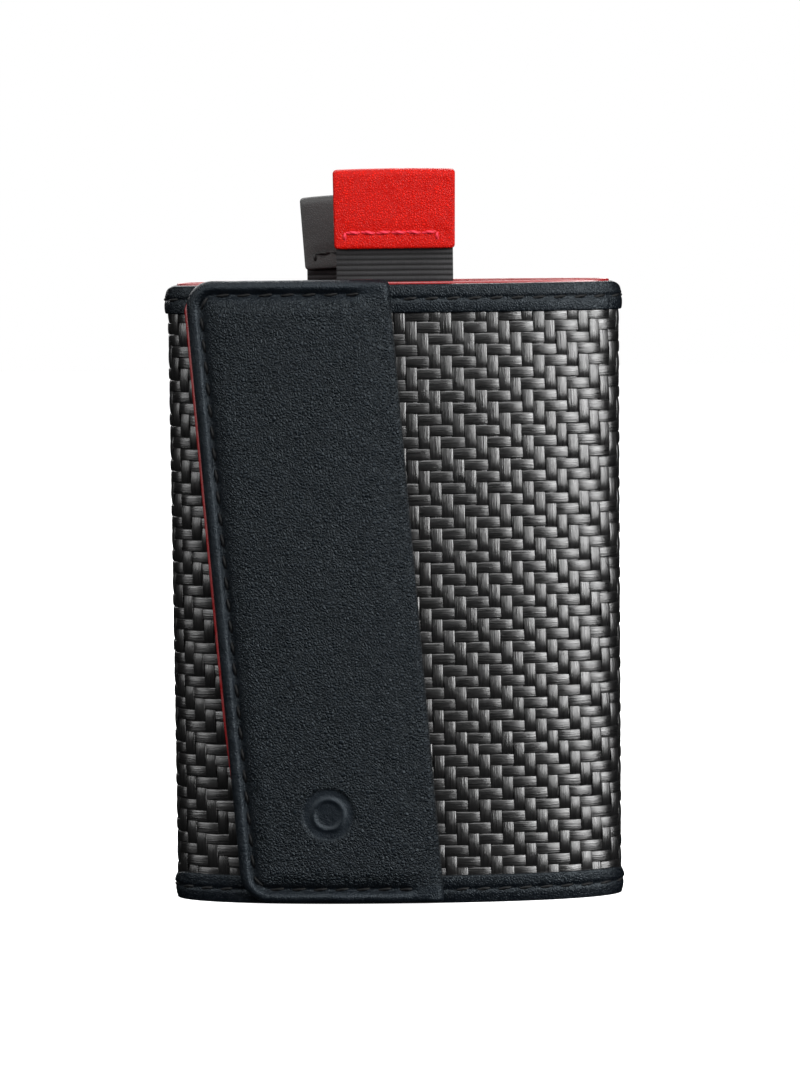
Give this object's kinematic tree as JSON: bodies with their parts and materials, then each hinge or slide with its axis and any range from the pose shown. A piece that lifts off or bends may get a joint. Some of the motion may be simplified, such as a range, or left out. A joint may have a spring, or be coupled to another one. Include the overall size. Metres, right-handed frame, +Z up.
{
  "type": "minimalist wallet",
  "caption": "Slim upright card wallet: woven sleeve with stitched leather trims and red lining, a slanted magnetic front flap, and tabs on ribbons that lift the cards.",
  "frame": {"origin": "centre of the flat underside of the base panel, the face the wallet stands on", "axes": "+Z up the wallet to the card mouth, +X to the right seen from the flap side, +Y from the flap side to the plain back"},
  "size_m": [0.0692, 0.0203, 0.1094],
  "materials": {
    "carbon_weave": "glossy 2/2 twill of carbon tows",
    "black_leather": "matte fine-grained black leather",
    "red_leather": "matte fine-grained red leather",
    "red_lining": "smooth red lining leather",
    "black_ribbon": "ribbed black ribbon",
    "black_thread": "waxed black thread",
    "red_thread": "pinkish red thread",
    "divider_fabric": "plain black woven lining",
    "shield_board": "thin foil-faced stiffening board",
    "magnet_steel": "nickel-plated disc magnet"
  },
  "bodies": {
    "sleeve": {"front_panel": "carbon_weave", "back_panel": "carbon_weave", "front_lining": "red_lining", "back_lining": "red_lining", "top_trim": "black_leather", "bottom_trim": "black_leather", "base_panel": "black_leather", "pocket_divider": "divider_fabric", "back_shield_board": "shield_board", "front_shield_board": "shield_board", "body_magnet_lower": "magnet_steel", "body_magnet_upper": "magnet_steel", "hinge_strip": "black_leather", "top_trim_stitching": "black_thread", "bottom_trim_stitching": "black_thread", "front_ribbon_sewn_run": "black_ribbon", "front_ribbon_tack": "black_thread", "rear_ribbon_sewn_run": "black_ribbon", "rear_ribbon_tack": "black_thread"},
    "flap": {"flap_leather": "black_leather", "flap_lining": "red_lining", "flap_board": "shield_board", "flap_magnet_lower": "magnet_steel", "flap_magnet_upper": "magnet_steel", "flap_stitching": "black_thread"},
    "front_loop": {"front_ribbon_loop": "black_ribbon"},
    "front_pull": {"front_ribbon_pull": "black_ribbon", "red_tab": "red_leather", "red_tab_stitching": "red_thread"},
    "rear_loop": {"rear_ribbon_loop": "black_ribbon"},
    "rear_pull": {"rear_ribbon_pull": "black_ribbon", "black_tab": "black_leather", "black_tab_stitching": "black_thread"}
  },
  "joints": [
    {"name": "flap_hinge", "type": "hinge", "parent": "sleeve", "child": "flap", "pos_m": [0.00565, -0.00985, 0], "axis": [-0.0783, 0, 0.9969], "range_deg": [0, 165]},
    {"name": "front_loop_lift", "type": "slide", "parent": "sleeve", "child": "front_loop", "axis": [0, 0, 1], "range_m": [0, 0.022], "deforming": ["front_ribbon_sewn_run"]},
    {"name": "front_tab_pull", "type": "slide", "parent": "front_loop", "child": "front_pull", "axis": [0, 0, 1], "range_m": [0, 0.022]},
    {"name": "rear_loop_lift", "type": "slide", "parent": "sleeve", "child": "rear_loop", "axis": [0, 0, 1], "range_m": [0, 0.022], "deforming": ["rear_ribbon_sewn_run"]},
    {"name": "rear_tab_pull", "type": "slide", "parent": "rear_loop", "child": "rear_pull", "axis": [0, 0, 1], "range_m": [0, 0.022]}
  ],
  "couplings": [
    {"joint": "front_tab_pull", "follows": "front_loop_lift", "ratio": 1},
    {"joint": "rear_tab_pull", "follows": "rear_loop_lift", "ratio": 1}
  ]
}
